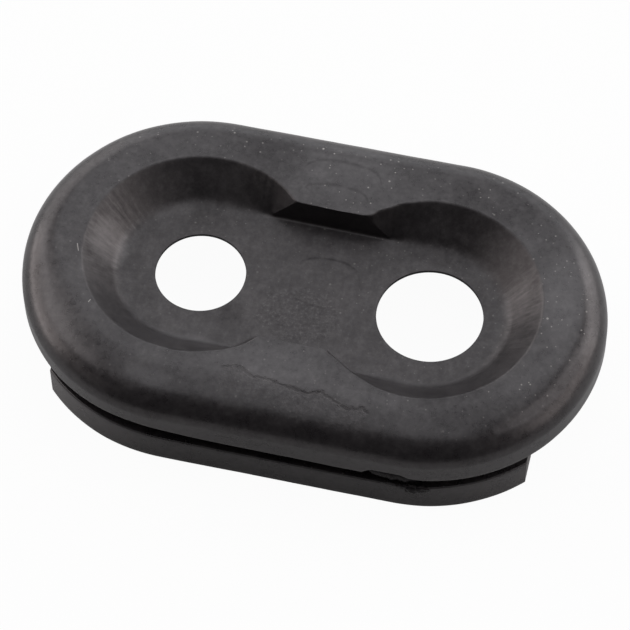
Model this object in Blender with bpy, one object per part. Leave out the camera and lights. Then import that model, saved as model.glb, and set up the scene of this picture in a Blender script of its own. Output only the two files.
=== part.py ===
"""Oblong rubber grommet that seals two parking brake cables where they pass a car's sheet metal.

One moulded piece: a thick head with a rounded rim, a figure-eight recess with two cable holes in
its thin floor, a groove that grips the edge of the metal, and a lower flange with straight ends.
Metres, +Z up. The grommet rests on the flange, and the origin is below its middle.
"""
import math

import bmesh
import bpy
from mathutils import Matrix, Vector

# Head: the upper plate with round ends.
HEAD_LENGTH = 0.0760
HEAD_WIDTH = 0.0455
RIM_ROUNDING = 0.0043
HEAD_FOOT_ROUNDING = 0.0005

# Heights, from the underside upwards.
FLANGE_THICKNESS = 0.0050
GROOVE_HEIGHT = 0.0026
HEAD_THICKNESS = 0.0068

# Flange and groove.
FLANGE_INSET = 0.00035
FLANGE_LENGTH = 0.0624
FLANGE_EDGE = 0.00025
GROOVE_END_LIP = 0.00035
GROOVE_CORNER = 0.0004

# Recess: two cups joined by a straight channel. The mould set it slightly askew.
RECESS_DEPTH = 0.0044
FLOOR_HALF_WIDTH = 0.0104
CUP_SLOPE = math.radians(45)
CUP_SPACING = 0.0301
CHANNEL_WALL_LENGTH = 0.0161
RECESS_SHIFT = -0.00027
RECESS_TURN = math.radians(-0.8)
FLOOR_FILLET = 0.0003
RECESS_EDGE = 0.0003

# Cable holes in the thin floor.
FLOOR_THICKNESS = 0.0005
SMALL_HOLE_DIAMETER = 0.0117
LARGE_HOLE_DIAMETER = 0.0137
SMALL_HOLE_X = -0.01495
LARGE_HOLE_X = 0.01525

# Pocket in the underside, below the thin floor.
POCKET_WALL = 0.0018
POCKET_DRAFT = math.radians(17)
POCKET_FILLET = 0.0010

# Facets of the round shapes.
HEAD_END_STEPS = 56
RIM_STEPS = 9
CUP_STEPS = 48
CUP_MOUTH_STEPS = 12
HOLE_STEPS = 72
POCKET_STEPS = 40
SMALL_STEPS = 3

# How far the cutters reach past what they cut.
REACH = 0.004

HEIGHT = FLANGE_THICKNESS + GROOVE_HEIGHT + HEAD_THICKNESS
HEAD_RADIUS = HEAD_WIDTH / 2
END_CENTRE = (HEAD_LENGTH - HEAD_WIDTH) / 2
FLANGE_RADIUS = HEAD_RADIUS - FLANGE_INSET
NECK_RADIUS = FLANGE_LENGTH / 2 - END_CENTRE - GROOVE_END_LIP
HEAD_FOOT = FLANGE_THICKNESS + GROOVE_HEIGHT
FLOOR_TOP = HEIGHT - RECESS_DEPTH
FLOOR_UNDER = FLOOR_TOP - FLOOR_THICKNESS
CUP_RADIUS = FLOOR_HALF_WIDTH + RECESS_DEPTH / math.tan(CUP_SLOPE)
POCKET_FOOT_RADIUS = NECK_RADIUS - POCKET_WALL

RUBBER_COLOUR = (0.045, 0.043, 0.045, 1.0)
RUBBER_ROUGHNESS = 0.55


def clear_scene():
    """Remove what the scene holds."""
    for item in list(bpy.data.objects):
        bpy.data.objects.remove(item, do_unlink=True)
    for group in list(bpy.data.collections):
        bpy.data.collections.remove(group)


def new_collection(name):
    """Add a collection to the scene."""
    group = bpy.data.collections.new(name)
    bpy.context.scene.collection.children.link(group)
    return group


def new_object(name, bm, group):
    """Turn a finished bmesh into an object with its faces out, so that its highest face looks up."""
    bmesh.ops.recalc_face_normals(bm, faces=bm.faces)
    highest = max(bm.faces, key=lambda face: face.calc_center_median().z)
    if highest.normal.z < 0:
        bmesh.ops.reverse_faces(bm, faces=bm.faces)
    mesh = bpy.data.meshes.new(name)
    bm.to_mesh(mesh)
    bm.free()
    item = bpy.data.objects.new(name, mesh)
    group.objects.link(item)
    return item


def corner_arc(corner, before, after, reach, steps):
    """Points of a round corner that starts and ends at the given reach from the sharp corner."""
    start = (corner[0] + before[0] * reach, corner[1] + before[1] * reach)
    end = (corner[0] + after[0] * reach, corner[1] + after[1] * reach)
    bend = math.acos(-(before[0] * after[0] + before[1] * after[1]))
    radius = reach / math.tan(bend / 2)
    middle = (before[0] + after[0], before[1] + after[1])
    length = math.hypot(*middle)
    away = math.hypot(radius, reach)
    centre = (corner[0] + middle[0] / length * away, corner[1] + middle[1] / length * away)
    first = math.atan2(start[1] - centre[1], start[0] - centre[0])
    last = math.atan2(end[1] - centre[1], end[0] - centre[0])
    turn = (last - first + math.pi) % (2 * math.pi) - math.pi
    points = []
    for step in range(steps + 1):
        angle = first + turn * step / steps
        points.append((centre[0] + radius * math.cos(angle), centre[1] + radius * math.sin(angle)))
    return points


def body_profile():
    """Outer side of the body's section, from the rim's top edge down to the flange's lower edge."""
    points = corner_arc((HEAD_RADIUS, HEIGHT), (-1, 0), (0, -1), RIM_ROUNDING, RIM_STEPS)
    points += corner_arc((HEAD_RADIUS, HEAD_FOOT), (0, 1), (-1, 0), HEAD_FOOT_ROUNDING, SMALL_STEPS)
    points += corner_arc((NECK_RADIUS, HEAD_FOOT), (1, 0), (0, -1), GROOVE_CORNER, SMALL_STEPS)
    points += corner_arc((NECK_RADIUS, FLANGE_THICKNESS), (0, 1), (1, 0), GROOVE_CORNER, SMALL_STEPS)
    points += corner_arc((FLANGE_RADIUS, FLANGE_THICKNESS), (-1, 0), (0, -1), FLANGE_EDGE, SMALL_STEPS)
    points += corner_arc((FLANGE_RADIUS, 0.0), (0, 1), (-1, 0), FLANGE_EDGE, SMALL_STEPS)
    return points


def swing(bm, line, centre_x, angle, steps):
    """Turn a line of edges round an upright axis and give back the line at the end of the turn."""
    turn = bmesh.ops.spin(
        bm,
        geom=line,
        cent=(centre_x, 0.0, 0.0),
        axis=(0.0, 0.0, 1.0),
        angle=angle,
        steps=steps,
    )
    return turn["geom_last"]


def draw(bm, line, run):
    """Draw a line of edges along X and give back the line at the end of the run."""
    edges = [part for part in line if isinstance(part, bmesh.types.BMEdge)]
    drawn = bmesh.ops.extrude_edge_only(bm, edges=edges)["geom"]
    moved = [part for part in drawn if isinstance(part, bmesh.types.BMVert)]
    bmesh.ops.translate(bm, verts=moved, vec=(run, 0.0, 0.0))
    chosen = set(moved)
    ends = [part for part in drawn if isinstance(part, bmesh.types.BMEdge)]
    return moved + [edge for edge in ends if chosen.issuperset(edge.verts)]


def close_ends(bm):
    """Close the open loops above and below with flat faces."""
    bmesh.ops.remove_doubles(bm, verts=bm.verts, dist=1e-7)
    rims = [edge for edge in bm.edges if len(edge.link_faces) == 1]
    bmesh.ops.holes_fill(bm, edges=rims, sides=0)


def oblong_body(name, group):
    """The body: its outer side led round one end, along, round the other end and back."""
    bm = bmesh.new()
    verts = [bm.verts.new((END_CENTRE, -out, up)) for out, up in body_profile()]
    line = verts + [bm.edges.new(pair) for pair in zip(verts, verts[1:])]
    line = swing(bm, line, END_CENTRE, math.pi, HEAD_END_STEPS)
    line = draw(bm, line, -2 * END_CENTRE)
    line = swing(bm, line, -END_CENTRE, math.pi, HEAD_END_STEPS)
    draw(bm, line, 2 * END_CENTRE)
    close_ends(bm)
    return new_object(name, bm, group)


def combine(item, tool, operation):
    """Join a tool's volume to the item, or take it out of the item."""
    tool.display_type = "WIRE"
    tool.hide_render = True
    boolean = item.modifiers.new(tool.name, "BOOLEAN")
    boolean.operation = operation
    boolean.solver = "EXACT"
    boolean.object = tool


def recess_sides():
    """Places round the recess: (foot, top, way out at the foot, way out at the top), all in plan.

    The foot follows the oblong floor. The top follows a cup's circle to the channel's corner, so the
    wall grows steeper on its way there and ends in a straight crease against the channel's wall.
    """
    centre = CUP_SPACING / 2
    mouth_angle = math.acos(FLOOR_HALF_WIDTH / CUP_RADIUS)
    quarter = []
    for step in range(CUP_STEPS // 2):
        angle = math.pi * step / CUP_STEPS
        out = (math.cos(angle), math.sin(angle))
        foot = (centre + FLOOR_HALF_WIDTH * out[0], FLOOR_HALF_WIDTH * out[1])
        quarter.append((foot, (centre + CUP_RADIUS * out[0], CUP_RADIUS * out[1]), out, out))
    for step in range(CUP_MOUTH_STEPS + 1):
        part = step / CUP_MOUTH_STEPS
        out = (-math.sin(mouth_angle * part), math.cos(mouth_angle * part))
        foot = (centre + (CHANNEL_WALL_LENGTH / 2 - centre) * part, FLOOR_HALF_WIDTH)
        top = (centre + CUP_RADIUS * out[0], CUP_RADIUS * out[1])
        quarter.append((foot, top, (0.0, 1.0), out))
    foot, top, _, out = quarter[-1]
    quarter[-1] = (foot, top, (0.0, 1.0), (-math.tan(mouth_angle / 2), 1.0))
    half = quarter + [mirrored(place, -1, 1) for place in reversed(quarter)][:-1]
    return half + [mirrored(place, -1, -1) for place in half]


def mirrored(place, across, along):
    """The same place on the other side of the recess."""
    return tuple((across * x, along * y) for x, y in place)


def eased(start, corner, end):
    """Points of a smooth bend from start to end, drawn towards the corner."""
    points = []
    for step in range(SMALL_STEPS + 1):
        part = step / SMALL_STEPS
        points.append(start * (1 - part) ** 2 + corner * 2 * part * (1 - part) + end * part ** 2)
    return points


def recess_cutter(name, group):
    """Both cups and the channel as one solid, set out place by place round the recess."""
    bm = bmesh.new()
    columns = []
    for foot, top, foot_out, top_out in recess_sides():
        foot, top = Vector((*foot, FLOOR_TOP)), Vector((*top, HEIGHT))
        rise = (top - foot).normalized()
        points = eased(foot - Vector((*foot_out, 0.0)) * FLOOR_FILLET, foot, foot + rise * FLOOR_FILLET)
        points += eased(top - rise * RECESS_EDGE, top, top + Vector((*top_out, 0.0)) * RECESS_EDGE)
        beyond = 2 * points[-1] - points[-2]
        points[-1] = beyond
        points.append(Vector((beyond.x, beyond.y, HEIGHT + REACH)))
        columns.append([bm.verts.new(point) for point in points])
    for column, following in zip(columns, columns[1:] + columns[:1]):
        for low in range(len(column) - 1):
            bm.faces.new((column[low], following[low], following[low + 1], column[low + 1]))
    close_ends(bm)
    return new_object(name, bm, group)


def pocket_cutter(name, group):
    """Tapered oblong pocket below the thin floor, open at the underside."""
    run = math.tan(POCKET_DRAFT)
    roof_radius = POCKET_FOOT_RADIUS - run * FLOOR_UNDER
    slant = math.hypot(run, 1.0)
    down = (run / slant, -1.0 / slant)
    levels = corner_arc((roof_radius, FLOOR_UNDER), (-1, 0), down, POCKET_FILLET, SMALL_STEPS)
    levels.append((POCKET_FOOT_RADIUS + run * REACH, -REACH))
    bm = bmesh.new()
    for radius, height in levels:
        for side in (-1, 1):
            for step in range(POCKET_STEPS + 1):
                angle = math.pi * step / POCKET_STEPS - math.pi / 2
                across = side * (CUP_SPACING / 2 + radius * math.cos(angle)) + RECESS_SHIFT
                bm.verts.new((across, radius * math.sin(angle), height))
    bmesh.ops.convex_hull(bm, input=bm.verts)
    return new_object(name, bm, group)


def hole_cutter(name, centre_x, diameter, group):
    """Round cable hole, which reaches from above the thin floor to below the underside."""
    top = FLOOR_TOP + RECESS_DEPTH / 2
    bm = bmesh.new()
    bmesh.ops.create_cone(
        bm,
        cap_ends=True,
        segments=HOLE_STEPS,
        radius1=diameter / 2,
        radius2=diameter / 2,
        depth=top + REACH,
        matrix=Matrix.Translation((centre_x, 0.0, (top - REACH) / 2)),
    )
    return new_object(name, bm, group)


def end_cutter(name, side, group):
    """Block that trims one end of the flange straight, and stays clear of the head."""
    bm = bmesh.new()
    bmesh.ops.create_cube(bm, size=1.0)
    low = -REACH
    high = FLANGE_THICKNESS + GROOVE_HEIGHT / 2
    deep = HEAD_LENGTH / 2 + REACH - FLANGE_LENGTH / 2
    middle = (side * (FLANGE_LENGTH / 2 + deep / 2), 0.0, (low + high) / 2)
    bmesh.ops.scale(bm, verts=bm.verts, vec=(deep, HEAD_WIDTH + 2 * REACH, high - low))
    bmesh.ops.translate(bm, verts=bm.verts, vec=middle)
    return new_object(name, bm, group)


def rubber():
    """Plain black moulded rubber."""
    material = bpy.data.materials.new("rubber")
    material.use_nodes = True
    shader = material.node_tree.nodes["Principled BSDF"]
    shader.inputs["Base Color"].default_value = RUBBER_COLOUR
    shader.inputs["Roughness"].default_value = RUBBER_ROUGHNESS
    return material


def main():
    """Build the grommet."""
    clear_scene()
    parts = new_collection("brake_cable_grommet")
    cutters = new_collection("cutters")
    cutters.hide_render = True
    grommet = oblong_body("grommet", parts)
    recess = recess_cutter("recess", cutters)
    recess.location.x = RECESS_SHIFT
    recess.rotation_euler.z = RECESS_TURN
    combine(grommet, recess, "DIFFERENCE")
    combine(grommet, hole_cutter("small_hole", SMALL_HOLE_X, SMALL_HOLE_DIAMETER, cutters), "DIFFERENCE")
    combine(grommet, hole_cutter("large_hole", LARGE_HOLE_X, LARGE_HOLE_DIAMETER, cutters), "DIFFERENCE")
    combine(grommet, pocket_cutter("pocket", cutters), "DIFFERENCE")
    combine(grommet, end_cutter("left_end", -1, cutters), "DIFFERENCE")
    combine(grommet, end_cutter("right_end", 1, cutters), "DIFFERENCE")
    grommet.data.shade_smooth()
    grommet.data.set_sharp_from_angle(angle=math.radians(32))
    grommet.data.materials.append(rubber())


main()
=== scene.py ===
import math

import bmesh
import bpy
import numpy as np
from mathutils import Matrix, Vector, noise


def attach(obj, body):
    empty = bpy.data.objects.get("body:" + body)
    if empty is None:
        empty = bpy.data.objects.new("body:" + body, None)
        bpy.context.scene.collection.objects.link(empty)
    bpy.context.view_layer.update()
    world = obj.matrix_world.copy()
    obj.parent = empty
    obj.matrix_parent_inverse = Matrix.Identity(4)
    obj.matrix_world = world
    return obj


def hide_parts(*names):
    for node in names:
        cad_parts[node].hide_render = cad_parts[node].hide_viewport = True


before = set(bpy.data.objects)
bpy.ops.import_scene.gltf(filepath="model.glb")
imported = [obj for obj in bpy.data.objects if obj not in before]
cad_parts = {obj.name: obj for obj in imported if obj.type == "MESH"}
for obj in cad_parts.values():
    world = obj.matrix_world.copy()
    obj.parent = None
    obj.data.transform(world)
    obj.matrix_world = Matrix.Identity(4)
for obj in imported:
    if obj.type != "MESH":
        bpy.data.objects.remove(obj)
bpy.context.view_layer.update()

MM = 0.001

# Sizes of the grommet in millimetres, as in the part's source.
END_CENTRE = 15.25
HEAD_RADIUS = 22.75
RIM_ROUNDING = 4.3
HEIGHT = 14.4
HEAD_FOOT = 7.6
FLANGE_TOP = 5.0
FLANGE_RADIUS = 22.4
FLANGE_HALF_LENGTH = 31.2
FLANGE_EDGE = 0.25
NECK_RADIUS = 15.6
GROOVE_CORNER = 0.4
FLOOR_TOP = 10.0
FLOOR_UNDER = 9.5
FLOOR_HALF_WIDTH = 10.4
CUP_RADIUS = 14.8
CUP_SHIFT = 15.05
CUP_MOUTH = CUP_SHIFT - math.sqrt(CUP_RADIUS ** 2 - FLOOR_HALF_WIDTH ** 2)
CHANNEL_WALL_HALF = 8.05
RECESS_SHIFT = -0.27
RECESS_TURN = math.radians(-0.8)
RECESS_EDGE = 0.3
POCKET_FOOT_RADIUS = 13.8
POCKET_ROOF_RADIUS = 10.9
POCKET_FILLET = 1.0

# Cable holes: place along the long axis and radius.
SMALL_HOLE = (-14.95, 5.85)
LARGE_HOLE = (15.25, 6.85)

# Corners that are drawn finer or softer than the solid's.
HEAD_FOOT_ROUNDING = 0.25
POCKET_FOOT_ROUNDING = 0.2
CHANNEL_FILLET = 0.4
CUP_FILLET = 1.1
FILLET_BLEND = 3.0

# The front rim's fuller form. Bends: first and last tilt in degrees, radius. Sag: how far the edge hangs
# and the reach where it starts. Then how far round from the front it holds and fades, in degrees.
FRONT_RIM = [(0.0, 12.0, 17.0), (12.0, 25.0, 6.9), (25.0, 55.0, 4.5), (55.0, 70.0, 3.7),
             (70.0, 90.0, 1.75)]
FRONT_SAG = 0.53
SAG_START = 15.3
FRONT_HOLD = 45.0
FRONT_FADE = 55.0

# Camera fitted to the photograph: angles in degrees, lengths in metres, focal length in pixels.
CAMERA_AZIMUTH = 13.66115
CAMERA_ELEVATION = 57.99177
CAMERA_ROLL = -0.85969
CAMERA_AIM = (-0.00057521, 0.00295652, 0.0)
CAMERA_DISTANCE = 0.459732449
FOCAL_PIXELS = 3500.770
IMAGE_PIXELS = 630
SENSOR_MM = 36.0
CAMERA_CLIP = (0.02, 20.0)

# Mesh settings: distances in millimetres, numbers of columns and rows, corners kept sharp in degrees.
SPINE_GAP = 1e-4
MERGE_DISTANCE = 0.002
LEAST_LEDGE = 0.02
HOLE_COLUMNS = 32
CORNER_COLUMNS = 6
MOUTH_COLUMNS = 14
CHANNEL_COLUMNS = {-1: 60, 1: 30}
END_COLUMNS = 36
RIM_ROWS = 25
FLAP_STATIONS = 120
SKIN_SHARP_ANGLE = 35.0
FLASH_SHARP_ANGLE = 60.0

# Waves of the moulded faces: depth, waves per millimetre, then share and fineness of a second layer.
UNDULATION = 0.06
UNDULATION_SCALE = 0.12
FINER_WAVES = (0.4, 2.7)

# Waves of the recess's upper edge: depth, waves per millimetre, and what sets its two sides apart.
EDGE_RAGGED = 0.05
EDGE_RAGGED_SCALE = 1.9
EDGE_SIDE_SEED = 7.0

# How far the recess's upper edge departs from its drawn line, at the front (-1) and the back (1): place
# along the long axis and shift outwards.
EDGE_SHIFT = {
    -1: [(-10.0, 0.1), (-7.3, 0.3), (-6.2, 0.4), (-5.0, 0.3), (-4.0, 0.2), (-1.7, 0.45), (-0.2, 0.4),
         (1.2, 0.2), (3.8, 0.35), (4.4, 0.3), (4.8, -0.1), (5.6, -0.4), (8.6, -0.35), (10.0, -0.3),
         (11.4, -0.1), (15.2, 0.0)],
    1: [(-6.0, 0.0), (-3.0, -0.1), (1.2, -0.2), (3.4, -0.1), (4.4, -0.1), (5.0, -0.45), (5.4, -0.6),
        (6.0, -0.3), (7.5, -0.4), (8.3, -0.15), (10.3, -0.15), (12.0, 0.0)],
}

# How far two edges at the front hang below their drawn height: place along the head's outline and drop.
FOOT_DROP = [(-30.0, 0.0), (-24.0, -0.2), (-18.5, -0.35), (-14.6, 0.0), (-10.8, 0.3), (-7.0, 0.45),
             (0.8, 0.52), (4.6, 0.6), (8.0, 0.7), (11.4, 0.65), (12.4, -0.3), (16.2, -0.4), (17.4, 0.3),
             (19.5, 0.5), (26.0, 0.5), (36.0, 0.45), (50.0, 0.0)]
FLANGE_DROP = [(-24.0, -0.2), (-18.0, -0.1), (-14.0, 0.1), (-10.0, 0.2), (2.0, 0.3), (12.0, 0.35),
               (18.0, 0.4), (22.0, 0.1), (30.0, 0.0)]

# Flash in the groove, a flap: place along the outline, lower and upper edge, radius of its face. Its
# section: how far behind the face and share of the height. Its waves, for both edges and the face:
# size, waves per millimetre and seed.
FLAP = [(11.2, 6.6, 7.0, 21.2), (12.0, 6.0, 7.25, 21.9), (13.0, 5.75, 7.45, 22.2),
        (15.0, 5.6, 7.4, 22.3), (16.6, 5.5, 7.2, 22.25), (17.8, 5.4, 6.9, 22.1),
        (19.0, 5.5, 6.4, 21.7), (19.8, 5.8, 6.2, 21.2)]
FLAP_SECTION = [(1.2, 0.9), (0.35, 1.0), (0.08, 0.88), (0.0, 0.6), (0.05, 0.2), (0.25, 0.0), (0.6, 0.1),
                (1.2, 0.3)]
FLAP_WAVES = [(0.16, 1.7, (0.0, 3.0)), (0.10, 1.3, (2.0, 1.0)), (0.14, 1.1, (5.0, 0.0))]
FLAP_SMOOTHNESS = 0.6

# Drips on the flange's edge: place along the outline, height, half length, half height, how far they
# stand proud. Then how uneven they are: share of the size and waves per unit.
DRIPS = [(17.75, 4.35, 0.85, 0.95, 0.30), (19.0, 4.5, 0.95, 0.75, 0.22), (16.6, 4.8, 0.8, 0.5, 0.18),
         (14.6, 5.0, 1.2, 0.35, 0.10)]
DRIP_WAVES = (0.35, 1.6)

# The squarish ring on the floor: middle, half size, how square, and the width of its line as a share of
# it. It is clearest from one reach to another beyond its middle, and at the near left; least elsewhere.
RING_CENTRE = (1.07, 1.90)
RING_HALF_SIZE = (4.40, 3.72)
RING_SQUARENESS = 2.5
RING_LINE_WIDTH = 0.075
RING_FAR = (1.8, 3.0)
RING_NEAR = (-2.6, -3.3)
RING_LEFT = (1.2, -0.4)
RING_LEAST = 0.22

# Other marks, in plan. The crease is an angle and a reach from the right end's centre. Each grain is
# cells per millimetre, detail and roughness, and each pair of places goes from none to all.
BACK_LINE_OUTER = [(-4.87, 15.2), (-4.08, 16.99), (-1.87, 17.81), (2.15, 17.74), (4.25, 17.24),
                   (5.49, 14.63)]
BACK_LINE_INNER = [(-4.05, 12.82), (-3.18, 13.65), (0.01, 14.21), (4.38, 12.47)]
BACK_LINE_WIDTH = 0.42
BACK_LINE_INSET = 0.3
BACK_LINE_FADE = 0.5
FLOW_LINE = [(-8.61, -15.87), (-7.77, -15.65), (-6.91, -15.36), (-6.0, -15.32), (-5.0, -15.67),
             (-4.11, -16.3), (-3.17, -16.34), (-2.07, -16.37), (-0.56, -16.55), (0.75, -16.68),
             (2.09, -16.89), (3.24, -17.14), (3.9, -16.81), (4.94, -16.56), (5.38, -16.89), (6.2, -17.3),
             (7.2, -17.66), (8.02, -18.05), (8.93, -18.05), (9.96, -17.76), (10.73, -17.98),
             (11.55, -18.14)]
FLOW_GRAIN = (0.9, 4.0, 0.75)
FLOW_JAG = 1.5
FLOW_FADE = 0.8
FLOW_EDGE_WIDTH = 0.34
FLOW_NEAR_EDGE = (0.0, 0.2)
FLOW_FAR_EDGE = (4.8, 1.0)
FLOW_HEIGHTS = (12.0, 13.0)
FLOW_FRONT = (-8.0, -10.0)
ROUGH_PATCH_CENTRE = (-1.2, -3.6)
ROUGH_PATCH_HALF_SIZE = (5.4, 3.9)
ROUGH_PATCH_GRAIN = (0.45, 4.0, 0.7)
ROUGH_PATCH_WARP = 2.2
ROUGH_PATCH_EDGE = (1.15, 0.85)
CREASE = [(-0.923, 20.3), (-0.448, 20.4), (-0.094, 21.07), (0.091, 21.25)]
CREASE_WIDTH = 0.7
CREASE_START = (2.0, 6.0)
CREASE_FADE = 0.06
FIBRES = [((-30.6, -1.9, 14.35), (-30.2, -2.9, 14.35)), ((-26.95, -10.1, 14.35), (-26.8, -9.75, 14.35))]
FIBRE_WIDTH = 0.09
FIBRE_CORE = 0.3

# Soft patches of more and less gloss: centre, half size, change.
GLOSS_PATCHES = [
    ((0.5, 17.0), (8.0, 5.5), 0.12), ((-3.0, -14.0), (10.0, 3.4), 0.11),
    ((22.0, -14.0), (9.0, 5.0), -0.13), ((-9.0, 17.0), (6.0, 5.0), -0.07),
    ((14.0, 17.5), (6.0, 4.0), -0.06),
    ((-20.5, 9.5), (3.2, 5.5), 0.12), ((26.0, 0.0), (3.0, 6.0), 0.10), ((-17.0, -12.5), (4.5, 3.0), 0.10),
    ((-9.6, -5.2), (2.6, 2.2), -0.12), ((-27.2, 1.0), (2.8, 4.4), 0.45), ((25.7, 4.0), (2.2, 3.6), 0.25),
    ((-13.3, -11.0), (6.0, 1.9), 0.25), ((31.5, 4.0), (4.0, 8.5), 0.22),
    ((-30.0, -11.0), (6.0, 8.0), 0.10), ((21.0, 15.7), (9.0, 5.0), -0.12),
    ((-13.6, -8.2), (4.2, 2.0), 0.07), ((-11.0, 17.5), (5.0, 4.0), -0.05),
    ((-18.0, -19.6), (5.0, 2.4), 0.22), ((14.5, 9.6), (7.0, 2.6), -0.16),
    ((-16.5, 8.0), (6.0, 3.0), -0.08),
]

# Where a point lies: how far its normal points up, heights and reaches, each from none to all, or a
# window with the width of its soft ends.
LEVEL_FACING = (0.80, 0.97)
RECESS_REACH = (16.2, 15.4)
RECESS_HEIGHTS = (HEIGHT - 0.02, HEIGHT - 0.15)
SLOPE_HEIGHTS = (10.3, 14.1, 0.3)
SLOPE_FACING = (0.5, 0.85, 0.15)
TOP_HEIGHTS = (13.0, 13.8)
FLOOR_HEIGHTS = (9.8, 10.15, 0.1)

# Grain of the surface: cells per millimetre, detail, roughness.
GRAINS = {
    "swell": (0.22, 3.0, 0.5),
    "pebble": (1.3, 4.0, 0.6),
    "fine": (4.5, 3.0, 0.65),
    "coarse": (1.1, 4.0, 0.72),
    "cloud": (0.25, 5.0, 0.65),
    "mottle": (1.0, 4.0, 0.7),
    "speckle": (2.2, 2.0, 0.6),
}
SMEAR_GRAIN = (0.7, 4.0, 0.7, (1.0, 0.35, 1.0))

# Streaks on the cups' end walls: grain, stretch over turn, height and length, the turns they cover with
# the width of the soft ends, and how many there are elsewhere.
STREAK_GRAIN = (1.5, 3.0, 0.75)
STREAK_STRETCH = (12.0, 0.18, 0.02)
STREAK_TURNS = (-0.15, 0.40, 0.45)
STREAK_LEAST = 0.12

# How much of the uneven relief there is beyond the flow line and in the rough patch.
FLOW_UNEVEN = 0.45
PATCH_UNEVEN = 0.8

# What each mark and grain adds to the relief in millimetres, to the gloss and to the roughness.
RELIEF = {"swell": 0.05, "pebble": 0.010, "fine": 0.003, "lines": -0.012, "crease": -0.022,
          "flow_edge": -0.045, "rubble": 0.15}
GLOSS = {"cloud": 0.22, "mottle": 0.30, "speckle": 0.22, "smear": 0.25, "streak": 0.9, "lines": -0.16,
         "flow_edge": -0.12, "grit": 0.4}
ROUGHENING = {"cloud": 0.10, "mottle": 0.10, "outside": 0.05}

# Pale film: from none to all over a range of each grain, and its share. Then what is there all over,
# how much less there is on steep faces, and the painted light on the flange's ends, a paler colour that
# stands for light bounced up from the table: heights, then places along the long axis with the least
# and the most of it.
FILM = {"cloud": (-0.12, 0.2, 0.4), "mottle": (-0.05, 0.25, 0.3), "smear": (0.0, 0.25, 0.3),
        "streak": (0.0, 0.25, 0.6)}
FILM_GRIT = (0.05, 0.2, 0.9)
FILM_BASE = 0.1
FILM_FACING = (0.3, 0.9, 0.3, 1.0)
PAINTED_END_LIGHT_HEIGHTS = (5.2, 4.6)
PAINTED_END_LIGHT_LEFT = (-18.0, -30.0, 0.0, 1.6)
PAINTED_END_LIGHT_RIGHT = (20.0, 30.0, 0.0, 0.8)
FILM_AND_PAINTED_LIGHT_STRENGTH = 0.4

# Dust: more of it towards the back and the right, in loose clouds, less in the recess. Specks: cells per
# millimetre, share of the cells, largest radius, seed; then the least radius as a share of the largest
# and the soft edge as shares of a speck's own radius.
DUST_LEAN = (0.8, 0.45)
DUST_BEHIND = (-14.0, 14.0, 0.2, 1.0)
DUST_GRAIN = (0.12, 2.0)
DUST_CLOUDS = (-0.15, 0.15, 0.35, 1.0)
DUST_IN_RECESS = 0.6
LARGE_SPECKS = (0.42, 0.26, 0.21, 3.0)
SMALL_SPECKS = (0.95, 0.30, 0.15, 11.0)
SMALL_SPECK_SHARE = 0.8
LEAST_SPECK = 0.35
SPECK_EDGE = (1.0, 0.45)
DUST_STRENGTH = 0.4

# Colours are linear. Each rubber has its own shine.
WHITE = (1.0, 1.0, 1.0, 1.0)
RUBBER_COLOUR = (0.0080, 0.0069, 0.0077, 1.0)
# The film's colour also paints light onto the flange's ends, standing for light bounced up from the
# table.
FILM_AND_PAINTED_LIGHT_COLOUR = (0.050, 0.046, 0.047, 1.0)
DUST_COLOUR = (0.55, 0.53, 0.50, 1.0)
ROUGHNESS = 0.29
RECESS_ROUGHNESS = 0.46
SHINE = 0.5
FLASH_SHINE = 0.08
IOR = 1.5
SPECULAR_TINT = (1.0, 0.955, 0.962, 1.0)
FLOOR_COLOUR = (0.55, 0.55, 0.55, 1.0)
FLOOR_SEEN_WHITE = 0.96
FLOOR_GLOSSY_WHITE = 0.05
FLOOR_SIZE = 6.0
WORLD_LEVEL = 0.05

# Light colours: what comes from behind is a little cooler than what comes from the sides.
COOL = (0.95, 0.97, 1.00)
PLAIN = (1.00, 0.97, 0.97)
WARM = (1.00, 0.93, 0.91)

# Softboxes: place and size in metres, level and colour. The side of the camera has hardly any.
SOFTBOXES = {
    "back": ((0.0, 0.80, 0.42), (1.0, 0.45), 1.4, COOL),
    "back_low": ((0.0, 0.95, 0.13), (1.0, 0.24), 1.15, COOL),
    "back_high": ((0.0, 0.45, 0.78), (0.8, 0.50), 1.65, COOL),
    "back_left": ((-0.62, 0.55, 0.45), (0.6, 0.45), 2.05, PLAIN),
    "back_left_low": ((-0.70, 0.66, 0.13), (0.7, 0.24), 1.6, PLAIN),
    "back_right": ((0.62, 0.55, 0.45), (0.6, 0.45), 3.3, PLAIN),
    "back_right_low": ((0.70, 0.66, 0.13), (0.7, 0.24), 2.2, PLAIN),
    "overhead": ((0.0, 0.0, 0.90), (0.7, 0.70), 1.3, COOL),
    "front_high": ((0.05, -0.45, 0.80), (0.7, 0.35), 0.05, PLAIN),
    "front_left": ((-0.72, -0.48, 0.32), (0.5, 0.40), 0.35, WARM),
    "front_right": ((0.72, -0.48, 0.32), (0.5, 0.40), 0.15, WARM),
    "left": ((-0.85, 0.05, 0.30), (0.8, 0.40), 2.3, WARM),
    "left_low": ((-0.95, 0.05, 0.09), (0.8, 0.16), 3.2, WARM),
    "left_high": ((-0.62, 0.05, 0.66), (0.6, 0.40), 2.45, PLAIN),
    "right": ((0.85, 0.05, 0.30), (0.8, 0.40), 2.1, WARM),
    "right_low": ((0.95, 0.05, 0.09), (0.8, 0.16), 0.8, WARM),
    "right_high": ((0.62, 0.05, 0.66), (0.6, 0.40), 2.0, PLAIN),
}


# Rays that fan out from the long axis, one for each column of the mesh.

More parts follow.
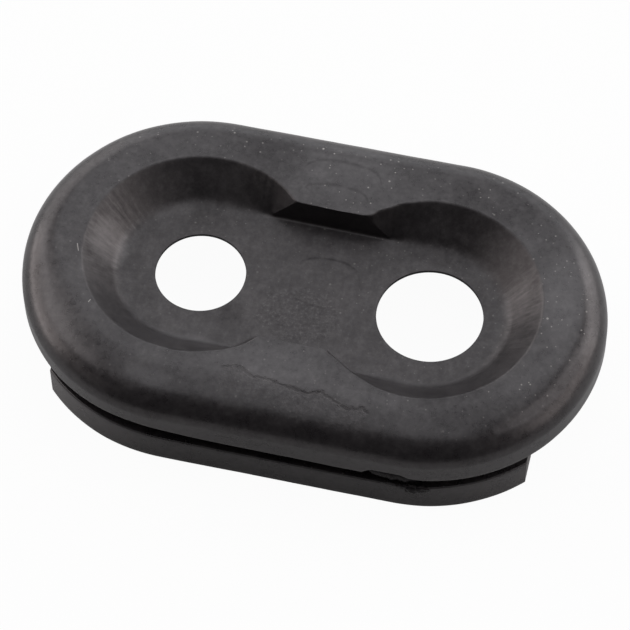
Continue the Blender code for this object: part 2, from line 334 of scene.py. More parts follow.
def spine_places(side):
    """Places along the long axis where columns start: round both holes and past the recess's corners."""
    small_x, small_r = SMALL_HOLE
    large_x, large_r = LARGE_HOLE
    turned = math.sin(RECESS_TURN) * side * FLOOR_HALF_WIDTH
    foot_left, mouth_left, mouth_right, foot_right = (
        RECESS_SHIFT - turned + x for x in (-CHANNEL_WALL_HALF, -CUP_MOUTH, CUP_MOUTH, CHANNEL_WALL_HALF))
    first = math.acos((-END_CENTRE - small_x) / small_r)
    last = math.acos((END_CENTRE - large_x) / large_r)
    places = [small_x + small_r * math.cos(a) for a in np.linspace(first, 0.0, HOLE_COLUMNS)]
    stops = ((small_x + small_r, foot_left, CORNER_COLUMNS), (foot_left, mouth_left, MOUTH_COLUMNS),
             (mouth_left, mouth_right, CHANNEL_COLUMNS[side]), (mouth_right, foot_right, MOUTH_COLUMNS),
             (foot_right, large_x - large_r, CORNER_COLUMNS))
    for start, end, count in stops:
        places += list(np.linspace(start, end, count))[1:]
    places += [large_x + large_r * math.cos(a) for a in np.linspace(math.pi, last, HOLE_COLUMNS)][1:]
    places[0], places[-1] = -END_CENTRE, END_CENTRE
    return places


def column_rays():
    """Start point and direction of each column's ray, once round the grommet."""
    trim = math.acos((FLANGE_HALF_LENGTH - END_CENTRE) / FLANGE_RADIUS)
    turns = list(np.linspace(-math.pi / 2, -trim, END_COLUMNS))
    turns += list(np.linspace(-trim, trim, 2 * END_COLUMNS)[1:])
    turns += list(np.linspace(trim, math.pi / 2, END_COLUMNS)[1:])
    rays = [(x, (0.0, -1.0)) for x in spine_places(-1)]
    rays += [(END_CENTRE, (math.cos(turn), math.sin(turn))) for turn in turns[1:-1]]
    rays += [(x, (0.0, 1.0)) for x in reversed(spine_places(1))]
    rays += [(-END_CENTRE, (-math.cos(turn), -math.sin(turn))) for turn in turns[1:-1]]
    return rays


def to_recess(x, y):
    """A point in the recess's own axes, before the mould's shift and turn."""
    x = x - RECESS_SHIFT
    c, s = math.cos(-RECESS_TURN), math.sin(-RECESS_TURN)
    return c * x - s * y, s * x + c * y


def circle_exit(x, direction, centre, radius):
    """How far a ray goes before it leaves a circle, or 0 if it starts outside."""
    px, py = x - centre[0], -centre[1]
    along = px * direction[0] + py * direction[1]
    room = along ** 2 - (px ** 2 + py ** 2 - radius ** 2)
    if px ** 2 + py ** 2 > radius ** 2 or room < 0:
        return 0.0
    return -along + math.sqrt(room)


def cup_centre(side):
    """Centre of one cup after the mould's shift and turn."""
    c, s = math.cos(RECESS_TURN), math.sin(RECESS_TURN)
    return RECESS_SHIFT + c * side * CUP_SHIFT, s * side * CUP_SHIFT


def channel_exit(x, direction):
    """How far a ray goes before it reaches the channel's wall line."""
    c, s = math.cos(RECESS_TURN), math.sin(RECESS_TURN)
    across = (-s, c)
    start = (x - RECESS_SHIFT) * across[0]
    speed = direction[0] * across[0] + direction[1] * across[1]
    if abs(speed) < 1e-6:
        return 1e9
    return (math.copysign(FLOOR_HALF_WIDTH, speed) - start) / speed


def in_channel(x, direction, reach):
    """True if the point at that reach lies between the cups' centres."""
    px, _ = to_recess(x + direction[0] * reach, direction[1] * reach)
    return abs(px) <= CUP_SHIFT


def recess_reaches(ray):
    """Reach of the floor's edge and of the recess's upper edge along a ray."""
    x, direction = ray
    wall = channel_exit(x, direction)
    floor = max(circle_exit(x, direction, cup_centre(side), FLOOR_HALF_WIDTH) for side in (-1, 1))
    upper = max(circle_exit(x, direction, cup_centre(side), CUP_RADIUS) for side in (-1, 1))
    if in_channel(x, direction, wall):
        floor = wall
        upper = max(upper, wall)
    if direction[0] == 0.0:
        places, shifts = zip(*EDGE_SHIFT[int(direction[1])])
        ragged = noise.noise(Vector((x * EDGE_RAGGED_SCALE, direction[1] * EDGE_SIDE_SEED, 0.0)))
        upper += np.interp(x, places, shifts) + EDGE_RAGGED * ragged
    return floor, upper


def arc(corner, before, after, reach, steps):
    """Points of a round corner that starts and ends at the given reach from the sharp corner."""
    start = np.array(corner) + np.array(before) * reach
    end = np.array(corner) + np.array(after) * reach
    swing = math.acos(max(-1.0, min(1.0, -float(np.dot(before, after)))))
    radius = reach / math.tan(swing / 2)
    middle = np.array(before) + np.array(after)
    middle = middle / np.linalg.norm(middle)
    centre = np.array(corner) + middle * math.hypot(radius, reach)
    first = math.atan2(*(start - centre)[::-1])
    last = math.atan2(*(end - centre)[::-1])
    turn = (last - first + math.pi) % (2 * math.pi) - math.pi
    return [tuple(centre + radius * np.array((math.cos(first + turn * k / steps),
                                              math.sin(first + turn * k / steps))))
            for k in range(steps + 1)]


def line(start, end, steps):
    """Points strictly between two ends."""
    parts = np.arange(1, steps + 1) / (steps + 1)
    return [tuple(np.array(start) * (1 - p) + np.array(end) * p) for p in parts]


def hole_reach(ray):
    """How far the cable hole's edge lies along a ray."""
    x, direction = ray
    return max(circle_exit(x, direction, (hole[0], 0.0), hole[1]) for hole in (SMALL_HOLE, LARGE_HOLE))


def bend(start, corner, end, steps):
    """Points of a smooth bend from start to end, drawn towards the corner."""
    start, corner, end = (np.array(p, float) for p in (start, corner, end))
    return [tuple(start * (1 - p) ** 2 + corner * 2 * p * (1 - p) + end * p ** 2)
            for p in np.linspace(0.0, 1.0, steps + 1)]


def on_path(path, run):
    """The point that lies a given run along a path of points."""
    for start, end in zip(path, path[1:]):
        length = math.dist(start, end)
        if run <= length and length > 0:
            part = run / length
            return tuple(a * (1 - part) + b * part for a, b in zip(start, end))
        run -= length
    return path[-1]


def eased(part):
    """A share from 0 to 1, with a smooth start and end."""
    part = max(0.0, min(1.0, part))
    return part * part * (3 - 2 * part)


def wall_height(ray, reach):
    """Height of the channel's upright wall where a ray meets it, before a cup's slope starts."""
    x, direction = ray
    px, _ = to_recess(x + direction[0] * reach, direction[1] * reach)
    rise = (CHANNEL_WALL_HALF - abs(px)) / (CHANNEL_WALL_HALF - CUP_MOUTH)
    return (HEIGHT - FLOOR_TOP) * max(0.0, min(1.0, rise))


def floor_fillet(ray, floor):
    """Run of the bend between floor and wall: wide in the cups, narrow in the channel."""
    x, direction = ray
    px, _ = to_recess(x + direction[0] * floor, direction[1] * floor)
    share = eased((abs(px) - CHANNEL_WALL_HALF) / FILLET_BLEND)
    return CHANNEL_FILLET + (CUP_FILLET - CHANNEL_FILLET) * share


def recess_wall(ray):
    """(reach, height) points up the recess's wall, from the floor to the head's top face.

    The mesh has the same number of rows here in every column, with one row at the wall's crease.
    """
    floor, upper = recess_reaches(ray)
    path = [(floor, FLOOR_TOP), (floor, FLOOR_TOP + wall_height(ray, floor)), (upper, HEIGHT)]
    length = sum(math.dist(*pair) for pair in zip(path, path[1:]))
    base, top = floor_fillet(ray, floor), length - RECESS_EDGE
    crease = min(max(math.dist(*path[:2]), base), top)
    points = bend((floor - base, FLOOR_TOP), path[0], on_path(path, base), 8)
    points += [on_path(path, run) for run in np.linspace(base, crease, 7)[1:]]
    points += [on_path(path, run) for run in np.linspace(crease, top, 14)[1:-1]]
    points += bend(on_path(path, top), path[-1], (upper + RECESS_EDGE, HEIGHT), 4)
    return points


def along_outline(ray, radius):
    """Place of a column along the outline: along the front, then on round the ends; None at the back."""
    x, direction = ray
    if direction[0] == 0.0:
        return x if direction[1] < 0 else None
    turn = math.atan2(direction[1], abs(direction[0])) + math.pi / 2
    return math.copysign(END_CENTRE + turn * radius, direction[0])


def edge_drop(ray, table):
    """How far an edge hangs below its drawn height at a column."""
    place = along_outline(ray, HEAD_RADIUS)
    if place is None:
        return 0.0
    places, drops = zip(*table)
    return float(np.interp(place, places, drops))


def front_share(ray):
    """1 where the rim has its fuller front form, 0 where it has the plain rounding."""
    _, direction = ray
    from_front = math.degrees(math.atan2(abs(direction[0]), -direction[1]))
    return 1.0 - eased((from_front - FRONT_HOLD) / FRONT_FADE)


def front_bend(tilt):
    """Run and fall of the front rim's bend from level to a tilt in degrees."""
    run = fall = 0.0
    for start, end, radius in FRONT_RIM:
        a, b = math.radians(start), math.radians(max(start, min(end, tilt)))
        run += radius * (math.sin(b) - math.sin(a))
        fall += radius * (math.cos(a) - math.cos(b))
    return run, fall


def rim(ray):
    """(reach, height) points of the rim's rounding, which sags and widens towards the front."""
    share = front_share(ray)
    whole, _ = front_bend(90.0)
    points = []
    for tilt in np.linspace(0.0, 90.0, RIM_ROWS):
        run, fall = front_bend(tilt)
        turn = math.radians(tilt)
        plain_reach = HEAD_RADIUS - RIM_ROUNDING * (1 - math.sin(turn))
        plain_height = HEIGHT - RIM_ROUNDING * (1 - math.cos(turn))
        reach = plain_reach * (1 - share) + (HEAD_RADIUS - whole + run) * share
        height = plain_height * (1 - share) + (HEIGHT - fall) * share
        height -= FRONT_SAG * share * max(0.0, (reach - SAG_START) / (HEAD_RADIUS - SAG_START))
        points.append((reach, height))
    return points


def section(ray):
    """(reach, height) points of one column, from the hole over the head and back underneath.

    The last number of each line, arc and bend is how many rows of the mesh it takes.
    """
    _, direction = ray
    hole = hole_reach(ray)
    floor, _ = recess_reaches(ray)
    points = [(hole, FLOOR_TOP)]
    points += line(points[-1], (floor - floor_fillet(ray, floor), FLOOR_TOP), 12)
    points += recess_wall(ray)
    bent = rim(ray)
    points += line(points[-1], bent[0], 16) + bent
    foot = HEAD_FOOT - edge_drop(ray, FOOT_DROP)
    points += line(points[-1], (HEAD_RADIUS, foot + HEAD_FOOT_ROUNDING), 4)
    points += arc((HEAD_RADIUS, foot), (0, 1), (-1, 0), HEAD_FOOT_ROUNDING, 4)
    points += line(points[-1], (NECK_RADIUS + GROOVE_CORNER, HEAD_FOOT), 4)
    points += arc((NECK_RADIUS, HEAD_FOOT), (1, 0), (0, -1), GROOVE_CORNER, 3)
    flange = FLANGE_RADIUS
    if direction[0]:
        flange = min(flange, (FLANGE_HALF_LENGTH - END_CENTRE) / abs(direction[0]))
    corner = min(GROOVE_CORNER, flange - NECK_RADIUS - LEAST_LEDGE)
    ledge = NECK_RADIUS + corner
    points += arc((NECK_RADIUS, FLANGE_TOP), (0, 1), (1, 0), corner, 3)
    edge = min(FLANGE_EDGE, flange - ledge)
    top = FLANGE_TOP - edge_drop(ray, FLANGE_DROP)
    points += line((ledge, FLANGE_TOP), (flange - edge, top), 3)
    points += bend((flange - edge, top), (flange, top), (flange, top - FLANGE_EDGE), 3)
    points += line(points[-1], (flange, FLANGE_EDGE), 6)
    points += bend((flange, FLANGE_EDGE), (flange, 0.0), (flange - FLANGE_EDGE, 0.0), 3)
    points += line(points[-1], (POCKET_FOOT_RADIUS + POCKET_FOOT_ROUNDING, 0.0), 5)
    run = (POCKET_FOOT_RADIUS - POCKET_ROOF_RADIUS) / FLOOR_UNDER
    up = (-run / math.hypot(run, 1), 1 / math.hypot(run, 1))
    points += arc((POCKET_FOOT_RADIUS, 0.0), (1, 0), up, POCKET_FOOT_ROUNDING, 2)
    fillet = arc((POCKET_ROOF_RADIUS, FLOOR_UNDER), (-up[0], -up[1]), (-1, 0), POCKET_FILLET, 4)
    points += line(points[-1], fillet[0], 6) + fillet
    points += line(points[-1], (hole, FLOOR_UNDER), 6)
    points.append((hole, FLOOR_UNDER))
    points.append((hole, (FLOOR_UNDER + FLOOR_TOP) / 2))
    return points


def grommet_mesh():
    """The grommet as one fine mesh: a grid of columns round it and rows along its section."""
    rays = column_rays()
    grid = [[(x + d[0] * reach, d[1] * reach, height) for reach, height in section((x, d))]
            for x, d in rays]
    on_spine = [hole_reach(ray) < SPINE_GAP for ray in rays]
    mesh = bmesh.new()
    verts = [[mesh.verts.new(Vector(point) * MM) for point in column] for column in grid]
    rows = len(verts[0])
    for i, column in enumerate(verts):
        j = (i + 1) % len(verts)
        no_hole = on_spine[i] and on_spine[j]
        for k in range(rows - 2 if no_hole else rows):
            n = (k + 1) % rows
            mesh.faces.new((column[k], verts[j][k], verts[j][n], column[n]))
    bmesh.ops.remove_doubles(mesh, verts=mesh.verts, dist=MERGE_DISTANCE * MM)
    bmesh.ops.recalc_face_normals(mesh, faces=mesh.faces)
    mesh.normal_update()
    share, fineness = FINER_WAVES
    for vert in mesh.verts:
        place = vert.co / MM * UNDULATION_SCALE
        swell = noise.noise(place) + share * noise.noise(place * fineness)
        vert.co -= vert.normal * UNDULATION * MM * max(0.0, 0.5 + 0.5 * swell)
    return mesh


def new_piece(name, mesh, material, sharp_angle):
    """An object made from mesh data, smooth but for its real corners."""
    data = bpy.data.meshes.new(name)
    mesh.to_mesh(data)
    mesh.free()
    data.shade_smooth()
    data.set_sharp_from_angle(angle=math.radians(sharp_angle))
    data.materials.append(material)
    piece = bpy.data.objects.new(name, data)
    bpy.context.scene.collection.objects.link(piece)
    return piece


def outline_point(along, radius):
    """A place on the front outline: along the straight side, then round the right end."""
    if along <= END_CENTRE:
        return along, -radius
    turn = (along - END_CENTRE) / radius - math.pi / 2
    return END_CENTRE + radius * math.cos(turn), radius * math.sin(turn)


def add_drip(mesh, drip, number):
    """One drip of spilt rubber, a squashed and uneven ball on the flange's face."""
    along, height, half_length, half_height, proud = drip
    share, scale = DRIP_WAVES
    made = bmesh.ops.create_icosphere(mesh, subdivisions=4, radius=1.0)
    for vert in made["verts"]:
        swell = 1.0 + share * noise.noise(vert.co * scale + Vector((number, 0.0, 0.0)))
        co = vert.co * swell
        x, y = outline_point(along + co.x * half_length, FLANGE_RADIUS + co.y * proud)
        vert.co = Vector((x, y, height + co.z * half_height)) * MM


def flap_ring(mesh, place):
    """The flap's section at one place along the outline, as a ring of new vertices."""
    places, *columns = zip(*FLAP)
    low, top, face = (
        float(np.interp(place, places, values)) + size * noise.noise(Vector((place * scale, *seed)))
        for values, (size, scale, seed) in zip(columns, FLAP_WAVES))
    ring = []
    for behind, share in FLAP_SECTION:
        x, y = outline_point(place, face - behind)
        ring.append(mesh.verts.new(Vector((x, y, low + share * (top - low))) * MM))
    return ring


def flash_mesh():
    """Spilt rubber in the groove: a thin flap under the head's edge and drips over the flange's edge."""
    mesh = bmesh.new()
    rings = [flap_ring(mesh, place) for place in np.linspace(FLAP[0][0], FLAP[-1][0], FLAP_STATIONS)]
    for a, b in zip(rings, rings[1:]):
        for k in range(len(a)):
            n = (k + 1) % len(a)
            mesh.faces.new((a[k], b[k], b[n], a[n]))
    mesh.faces.new(rings[0])
    mesh.faces.new(rings[-1][::-1])
    bmesh.ops.recalc_face_normals(mesh, faces=mesh.faces)
    bmesh.ops.subdivide_edges(mesh, edges=mesh.edges, cuts=1, smooth=FLAP_SMOOTHNESS, use_grid_fill=True)
    for number, drip in enumerate(DRIPS):
        add_drip(mesh, drip, number)
    return mesh


# Nodes.

def empty_tree(owner):
    """The node tree of a new material or world, with nothing in it."""
    owner.use_nodes = True
    owner.node_tree.nodes.clear()
    return owner.node_tree


def node(tree, kind, inputs=(), **settings):
    """A new shader node with its settings made and its inputs set or linked."""
    made = tree.nodes.new("ShaderNode" + kind)
    for name, value in settings.items():
        setattr(made, name, value)
    for name, value in dict(inputs).items():
        if isinstance(value, bpy.types.NodeSocket):
            tree.links.new(value, made.inputs[name])
        else:
            made.inputs[name].default_value = value
    return made


def calc(tree, operation, *values, clamp=False):
    """One step of arithmetic on numbers or sockets."""
    return node(tree, "Math", enumerate(values), operation=operation, use_clamp=clamp).outputs[0]


def total(tree, *values):
    """Sum of any number of sockets."""
    result = values[0]
    for value in values[1:]:
        result = calc(tree, "ADD", result, value)
    return result


def times(tree, *values):
    """Product of any number of sockets."""
    result = values[0]
    for value in values[1:]:
        result = calc(tree, "MULTIPLY", result, value)
    return result


def weighted(tree, shares, parts):
    """Sum of the named parts, each times its share."""
    return total(tree, *(times(tree, parts[name], share) for name, share in shares.items()))


def ramp(tree, value, start, end, low=0.0, high=1.0):
    """A smooth step from low to high as the value goes from start to end."""
    return node(tree, "MapRange", {"Value": value, "From Min": start, "From Max": end,
                                   "To Min": low, "To Max": high},
                interpolation_type="SMOOTHSTEP").outputs["Result"]


def bell(tree, value, centre, width):
    """A soft ridge of height 1 where the value is at the centre, gone at one width away."""
    away = calc(tree, "ABSOLUTE", calc(tree, "SUBTRACT", value, centre))
    return ramp(tree, away, width, 0.0)


def window(tree, value, start, end, fade):
    """1 between start and end, with soft ends."""
    return times(tree, ramp(tree, value, start - fade, start), ramp(tree, value, end + fade, end))


def grain(tree, place, scale, detail=2.0, roughness=0.5, stretch=None):
    """Noise around zero, with its scale in cells per millimetre."""
    if stretch:
        place = node(tree, "Mapping", {"Vector": place, "Scale": stretch}).outputs[0]
    value = node(tree, "TexNoise", {"Vector": place, "Scale": scale, "Detail": detail,
                                    "Roughness": roughness}).outputs[0]
    return calc(tree, "SUBTRACT", value, 0.5)


def ramp_linear(tree, value, start, end):
    """A straight ramp from 0 to 1."""
    made = node(tree, "MapRange", {"Value": value, "From Min": start, "From Max": end})
    return made.outputs["Result"]


def curve(tree, x, points, handle="VECTOR"):
    """The height of a drawn line above a place, with the line's points in millimetres."""
    xs, ys = zip(*points)
    x0, x1, y0, y1 = xs[0], xs[-1], min(ys), max(ys)
    made = node(tree, "FloatCurve", {"Value": ramp_linear(tree, x, x0, x1)})
    line_points = made.mapping.curves[0].points
    while len(line_points) < len(points):
        line_points.new(0.5, 0.5)
    for point, (px, py) in zip(line_points, points):
        point.location = ((px - x0) / (x1 - x0), (py - y0) / (y1 - y0))
        point.handle_type = handle
    made.mapping.extend = "HORIZONTAL"
    made.mapping.update()
    return calc(tree, "MULTIPLY_ADD", made.outputs[0], y1 - y0, y0)


def distance_to(tree, place, point):
    """Distance in plan from a point, in millimetres."""
    flat = node(tree, "VectorMath", {0: place, 1: (1.0, 1.0, 0.0)}, operation="MULTIPLY").outputs[0]
    return node(tree, "VectorMath", {0: flat, 1: (*point, 0.0)}, operation="DISTANCE").outputs["Value"]


def specks(tree, x, y, per_mm, share, size, seed):
    """Small round specks in plan, at random places and sizes, in a share of the cells."""
    flat = node(tree, "CombineXYZ", {0: calc(tree, "ADD", x, seed), 1: y}).outputs[0]
    cells = node(tree, "TexVoronoi", {"Vector": flat, "Scale": per_mm, "Randomness": 1.0},
                 voronoi_dimensions="2D")
    number = node(tree, "SeparateColor", {"Color": cells.outputs["Color"]}).outputs[0]
    part = ramp_linear(tree, number, 1.0 - share, 1.0)
    radius = times(tree, calc(tree, "MULTIPLY_ADD", part, 1.0 - LEAST_SPECK, LEAST_SPECK), size * per_mm)
    inside = calc(tree, "DIVIDE", cells.outputs["Distance"], radius)
    there = calc(tree, "GREATER_THAN", number, 1.0 - share)
    return times(tree, ramp(tree, inside, *SPECK_EDGE), there)


def moulded_ring(tree, x, y):
    """Faint groove round a squarish ring, clearest at its far side and at its near left."""
    powers = []
    for value, centre, half in zip((x, y), RING_CENTRE, RING_HALF_SIZE):
        part = calc(tree, "ABSOLUTE", calc(tree, "DIVIDE", calc(tree, "SUBTRACT", value, centre), half))
        powers.append(calc(tree, "POWER", part, RING_SQUARENESS))
    reach = calc(tree, "POWER", calc(tree, "ADD", *powers), 1 / RING_SQUARENESS)
    line_part = bell(tree, reach, 1.0, RING_LINE_WIDTH)
    middle_x, middle_y = RING_CENTRE
    far = ramp(tree, y, *(middle_y + away for away in RING_FAR))
    near_left = times(tree, ramp(tree, y, *(middle_y + away for away in RING_NEAR)),
                      ramp(tree, x, *(middle_x + away for away in RING_LEFT)))
    clearness = calc(tree, "MAXIMUM", calc(tree, "MAXIMUM", far, near_left), RING_LEAST)
    return times(tree, line_part, clearness)


def patch(tree, x, y, centre, half_size, warp):
    """An oblong patch with a ragged outline: above 1 outside, below 1 inside."""
    parts = []
    for value, middle, half in zip((x, y), centre, half_size):
        part = calc(tree, "DIVIDE", calc(tree, "SUBTRACT", value, middle), half)
        parts.append(calc(tree, "MULTIPLY", part, part))
    return total(tree, *parts, warp)


def blob(tree, x, y, centre, half_size):
    """A soft oblong patch in plan."""
    return ramp(tree, patch(tree, x, y, centre, half_size, 0.0), 1.0, 0.0)


def moulded_lines(tree, masks):
    """Faint lines left by the mould: the ring on the floor and the arcs on the back of the rim."""
    x, y, _ = masks["place"]
    result = times(tree, moulded_ring(tree, x, y), masks["floor"])
    for points in (BACK_LINE_OUTER, BACK_LINE_INNER):
        away = calc(tree, "SUBTRACT", y, curve(tree, x, points, "AUTO"))
        ends = window(tree, x, points[0][0] + BACK_LINE_INSET, points[-1][0] - BACK_LINE_INSET,
                      BACK_LINE_FADE)
        arc_line = times(tree, bell(tree, away, 0.0, BACK_LINE_WIDTH), ends, masks["top"])
        result = calc(tree, "MAXIMUM", result, arc_line)
    return result


def rim_crease(tree, place, masks):
    """The crease round the right end of the rim."""
    x, y, _ = masks["place"]
    end_x = calc(tree, "SUBTRACT", x, END_CENTRE)
    angle = calc(tree, "ARCTAN2", y, end_x)
    from_end = distance_to(tree, place, (END_CENTRE, 0.0))
    away = calc(tree, "SUBTRACT", from_end, curve(tree, angle, CREASE, "AUTO"))
    ends = window(tree, angle, CREASE[0][0], CREASE[-1][0], CREASE_FADE)
    return times(tree, bell(tree, away, 0.0, CREASE_WIDTH), ends, ramp(tree, end_x, *CREASE_START))


def flow_marks(tree, place, masks):
    """The jagged flow line on the front rim: distance beyond it and how much of it there is."""
    x, y, z = masks["place"]
    jag = times(tree, grain(tree, place, *FLOW_GRAIN), FLOW_JAG)
    beyond = calc(tree, "SUBTRACT", calc(tree, "ADD", curve(tree, x, FLOW_LINE), jag), y)
    there = times(tree, window(tree, x, FLOW_LINE[1][0], FLOW_LINE[-2][0], FLOW_FADE),
                  ramp(tree, z, *FLOW_HEIGHTS), ramp(tree, y, *FLOW_FRONT))
    return beyond, there


def surface_masks(tree, place):
    """Where a point lies: its coordinates, how level it is, and how far it is on each of the faces."""
    x, y, z = node(tree, "SeparateXYZ", {0: place}).outputs
    facing = node(tree, "SeparateXYZ", {0: node(tree, "NewGeometry").outputs["Normal"]}).outputs[2]
    level = ramp(tree, facing, *LEVEL_FACING)
    from_cup = calc(tree, "SUBTRACT", calc(tree, "ABSOLUTE", x), CUP_SHIFT)
    outward = node(tree, "CombineXYZ", {0: calc(tree, "MAXIMUM", from_cup, 0.0), 1: y}).outputs[0]
    reach = node(tree, "VectorMath", {0: outward}, operation="LENGTH").outputs["Value"]
    recess = times(tree, ramp(tree, reach, *RECESS_REACH), ramp(tree, z, *RECESS_HEIGHTS))
    slope = times(tree, recess, window(tree, z, *SLOPE_HEIGHTS), window(tree, facing, *SLOPE_FACING))
    return {"place": (x, y, z), "facing": facing, "level": level, "recess": recess, "slope": slope,
            "turn": calc(tree, "ARCTAN2", y, from_cup),
            "top": times(tree, ramp(tree, z, *TOP_HEIGHTS), level),
            "floor": times(tree, window(tree, z, *FLOOR_HEIGHTS), level)}


def surface_marks(tree, place, masks):
    """The marks and the grain of the rubber, each as one number that varies over the surface."""
    x, y, z = masks["place"]
    marks = {name: grain(tree, place, *settings) for name, settings in GRAINS.items()}
    beyond, in_flow = flow_marks(tree, place, masks)
    marks["flow_edge"] = times(tree, bell(tree, beyond, 0.0, FLOW_EDGE_WIDTH), in_flow)
    marks["outside"] = times(tree, ramp(tree, beyond, *FLOW_NEAR_EDGE),
                             ramp(tree, beyond, *FLOW_FAR_EDGE), in_flow)
    marks["lines"] = moulded_lines(tree, masks)
    marks["crease"] = rim_crease(tree, place, masks)

    # The surface is uneven beyond the flow line and in the rough patch on the floor.
    warp = times(tree, grain(tree, place, *ROUGH_PATCH_GRAIN), ROUGH_PATCH_WARP)
    inside = ramp(tree, patch(tree, x, y, ROUGH_PATCH_CENTRE, ROUGH_PATCH_HALF_SIZE, warp),
                  *ROUGH_PATCH_EDGE)
    marks["uneven"] = calc(tree, "MAXIMUM", times(tree, marks["outside"], FLOW_UNEVEN),
                           times(tree, inside, masks["floor"], PATCH_UNEVEN))
    marks["rubble"] = times(tree, marks["coarse"], marks["uneven"])
    marks["grit"] = times(tree, marks["speckle"], marks["uneven"])

    # Smears on the floor and streaks down the ends of the cups.
    marks["smear"] = times(tree, grain(tree, place, *SMEAR_GRAIN), masks["floor"])
    stretched = [times(tree, *pair) for pair in zip((masks["turn"], z, x), STREAK_STRETCH)]
    around = node(tree, "CombineXYZ", enumerate(stretched)).outputs[0]
    at_ends = calc(tree, "MULTIPLY_ADD", window(tree, masks["turn"], *STREAK_TURNS),
                   1.0 - STREAK_LEAST, STREAK_LEAST)
    marks["streak"] = times(tree, grain(tree, around, *STREAK_GRAIN), masks["slope"], at_ends)
    return marks


def pale_film_and_painted_light(tree, masks, marks):
    """How much pale film there is in clouds, smears and streaks, and how much painted light on the
    flange's ends.
    """
    x, _, z = masks["place"]
    parts = [times(tree, ramp(tree, marks[name], start, end), share)
             for name, (start, end, share) in FILM.items()]
    start, end, share = FILM_GRIT
    parts.append(times(tree, ramp(tree, marks["speckle"], start, end), marks["uneven"], share))
    # Painted light: the flange's ends are made paler, standing for light bounced up from the table.
    ends = calc(tree, "MAXIMUM", ramp(tree, x, *PAINTED_END_LIGHT_LEFT), ramp(tree, x, *PAINTED_END_LIGHT_RIGHT))
    painted_end_light = times(tree, ramp(tree, z, *PAINTED_END_LIGHT_HEIGHTS), ends)
    film = total(tree, *parts, FILM_BASE)
    return calc(tree, "MULTIPLY_ADD", film, ramp(tree, masks["facing"], *FILM_FACING), painted_end_light)


def fallen_dust(tree, place, masks):
    """White specks and fibres on level faces, most of them on the back and right of the rim."""
    x, y, _ = masks["place"]
    lean_y, lean_x = DUST_LEAN
    behind = ramp(tree, total(tree, times(tree, y, lean_y), times(tree, x, lean_x)), *DUST_BEHIND)
    scatter = times(tree, ramp(tree, grain(tree, place, *DUST_GRAIN), *DUST_CLOUDS), behind,
                    calc(tree, "SUBTRACT", 1.0, times(tree, masks["recess"], DUST_IN_RECESS)))
    dust = calc(tree, "MAXIMUM", times(tree, specks(tree, x, y, *LARGE_SPECKS), scatter),
                times(tree, specks(tree, x, y, *SMALL_SPECKS), scatter, SMALL_SPECK_SHARE))
    for ends in FIBRES:
        dust = calc(tree, "MAXIMUM", dust, segment(tree, place, *ends, FIBRE_WIDTH))
    return times(tree, dust, masks["level"])


def covered(tree, colour, cover, amount):
    """A colour with another one over it."""
    return node(tree, "Mix", {"Factor": amount, 6: colour, 7: cover}, data_type="RGBA").outputs[2]


def rubber_material(name, shine):
    """Dark moulded rubber: flow marks, faint moulded lines, streaks, film, dust, painted light on the
    flange ends.
    """
    material = bpy.data.materials.new(name)
    tree = empty_tree(material)
    place = node(tree, "VectorMath", {0: node(tree, "TexCoord").outputs["Object"], "Scale": 1 / MM},
                 operation="SCALE").outputs[0]
    masks = surface_masks(tree, place)
    marks = surface_marks(tree, place, masks)
    x, y, _ = masks["place"]

    # Besides the film, this also carries the painted light on the flange's ends.
    film = times(tree, pale_film_and_painted_light(tree, masks, marks), FILM_AND_PAINTED_LIGHT_STRENGTH)
    dust = times(tree, fallen_dust(tree, place, masks), DUST_STRENGTH)
    colour = covered(tree, covered(tree, RUBBER_COLOUR, FILM_AND_PAINTED_LIGHT_COLOUR, film), DUST_COLOUR, dust)

    gloss = calc(tree, "MULTIPLY_ADD", weighted(tree, GLOSS, marks), shine / SHINE, shine)
    for centre, half_size, change in GLOSS_PATCHES:
        gloss = calc(tree, "MULTIPLY_ADD", blob(tree, x, y, centre, half_size), change, gloss)
    rough = total(tree, weighted(tree, ROUGHENING, marks),
                  times(tree, masks["recess"], RECESS_ROUGHNESS - ROUGHNESS), ROUGHNESS)
    bump = node(tree, "Bump", {"Height": weighted(tree, RELIEF, marks), "Distance": MM, "Strength": 1.0})
    skin = node(tree, "BsdfPrincipled", {"Base Color": colour, "Roughness": rough, "IOR": IOR,
                                         "Specular IOR Level": gloss, "Specular Tint": SPECULAR_TINT,
                                         "Normal": bump.outputs[0]})
    node(tree, "OutputMaterial", {"Surface": skin.outputs[0]})
    return material


def segment(tree, place, start, end, width):
    """A short thread between two points on the surface."""
    run = node(tree, "VectorMath", {0: place, 1: start}, operation="SUBTRACT").outputs[0]
    axis = Vector(end) - Vector(start)
    part = node(tree, "VectorMath", {0: run, 1: axis / axis.length_squared}, operation="DOT_PRODUCT")
    part = calc(tree, "ADD", part.outputs["Value"], 0.0, clamp=True)
    nearest = node(tree, "VectorMath", {0: tuple(axis), "Scale": part}, operation="SCALE").outputs[0]
    away = node(tree, "VectorMath", {0: run, 1: nearest}, operation="DISTANCE").outputs["Value"]
    return ramp(tree, away, width, width * FIBRE_CORE)


def seen_directly(tree, path):
    """1 for rays straight from the camera, also through something clear."""
    return calc(tree, "MAXIMUM", path.outputs["Is Camera Ray"], path.outputs["Is Transmission Ray"])


def floor_material():
    """White table: bright where it is seen, plain where it lights the object."""
    material = bpy.data.materials.new("white_table")
    tree = empty_tree(material)
    path = node(tree, "LightPath")
    share = calc(tree, "MAXIMUM", times(tree, seen_directly(tree, path), FLOOR_SEEN_WHITE),
                 times(tree, path.outputs["Is Glossy Ray"], FLOOR_GLOSSY_WHITE))
    matte = node(tree, "BsdfDiffuse", {"Color": FLOOR_COLOUR})
    white = node(tree, "Emission", {"Color": WHITE, "Strength": 1.0})
    mixed = node(tree, "MixShader", {0: share, 1: matte.outputs[0], 2: white.outputs[0]})
    node(tree, "OutputMaterial", {"Surface": mixed.outputs[0]})
    return material


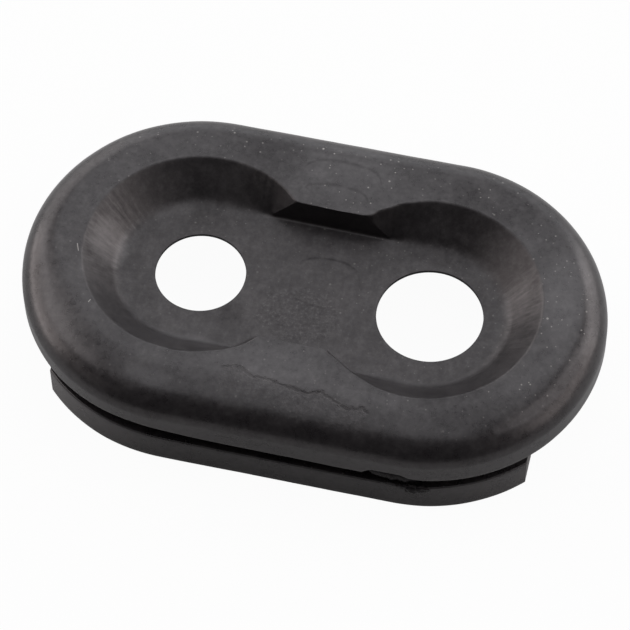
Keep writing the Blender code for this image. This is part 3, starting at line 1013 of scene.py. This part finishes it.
def studio_world():
    """Dim studio air that is white where the camera sees it."""
    world = bpy.data.worlds.new("studio")
    tree = empty_tree(world)
    strength = calc(tree, "MAXIMUM", seen_directly(tree, node(tree, "LightPath")), WORLD_LEVEL)
    air = node(tree, "Background", {"Color": WHITE, "Strength": strength})
    node(tree, "OutputWorld", {"Surface": air.outputs[0]})
    return world


def softbox(name, place, size, level, colour):
    """A rectangular soft light of even brightness, aimed at the grommet."""
    lamp = bpy.data.lights.new(name, "AREA")
    lamp.color = colour
    lamp.shape = "RECTANGLE"
    lamp.size, lamp.size_y = size
    lamp.energy = level * size[0] * size[1] * math.pi
    light = bpy.data.objects.new(name, lamp)
    bpy.context.scene.collection.objects.link(light)
    turn = Vector(place).to_track_quat("Z", "Y").to_matrix().to_4x4()
    light.matrix_world = Matrix.Translation(place) @ turn


def photo_camera():
    """The camera that took the photograph."""
    turn, lift, roll = (math.radians(a) for a in (CAMERA_AZIMUTH, CAMERA_ELEVATION, CAMERA_ROLL))
    right = Vector((math.cos(turn), math.sin(turn), 0.0))
    up = Vector((-math.sin(turn) * math.sin(lift), math.cos(turn) * math.sin(lift), math.cos(lift)))
    back = right.cross(up)
    rolled_right = right * math.cos(roll) + up * math.sin(roll)
    rolled_up = up * math.cos(roll) - right * math.sin(roll)
    data = bpy.data.cameras.new("photo_camera")
    data.sensor_width = SENSOR_MM
    data.lens = FOCAL_PIXELS / IMAGE_PIXELS * SENSOR_MM
    data.clip_start, data.clip_end = CAMERA_CLIP
    camera = bpy.data.objects.new("photo_camera", data)
    bpy.context.scene.collection.objects.link(camera)
    place = Vector(CAMERA_AIM) + back * CAMERA_DISTANCE
    axes = Matrix((rolled_right, rolled_up, back)).transposed()
    camera.matrix_world = Matrix.Translation(place) @ axes.to_4x4()
    bpy.context.scene.camera = camera


def floor_plane():
    """The white table under the grommet."""
    mesh = bmesh.new()
    bmesh.ops.create_grid(mesh, x_segments=4, y_segments=4, size=FLOOR_SIZE / 2)
    data = bpy.data.meshes.new("table")
    mesh.to_mesh(data)
    mesh.free()
    data.materials.append(floor_material())
    table = bpy.data.objects.new("table", data)
    bpy.context.scene.collection.objects.link(table)


grommet = new_piece("grommet_skin", grommet_mesh(), rubber_material("moulded_rubber", SHINE),
                    SKIN_SHARP_ANGLE)
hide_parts("grommet")
flash = new_piece("groove_flash", flash_mesh(), rubber_material("flash_rubber", FLASH_SHINE),
                  FLASH_SHARP_ANGLE)
for piece in (grommet, flash):
    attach(piece, "root")

floor_plane()
bpy.context.scene.world = studio_world()
for name, (place, size, level, colour) in SOFTBOXES.items():
    softbox(name + "_softbox", place, size, level, colour)
photo_camera()
bpy.context.scene.view_settings.view_transform = "Standard"
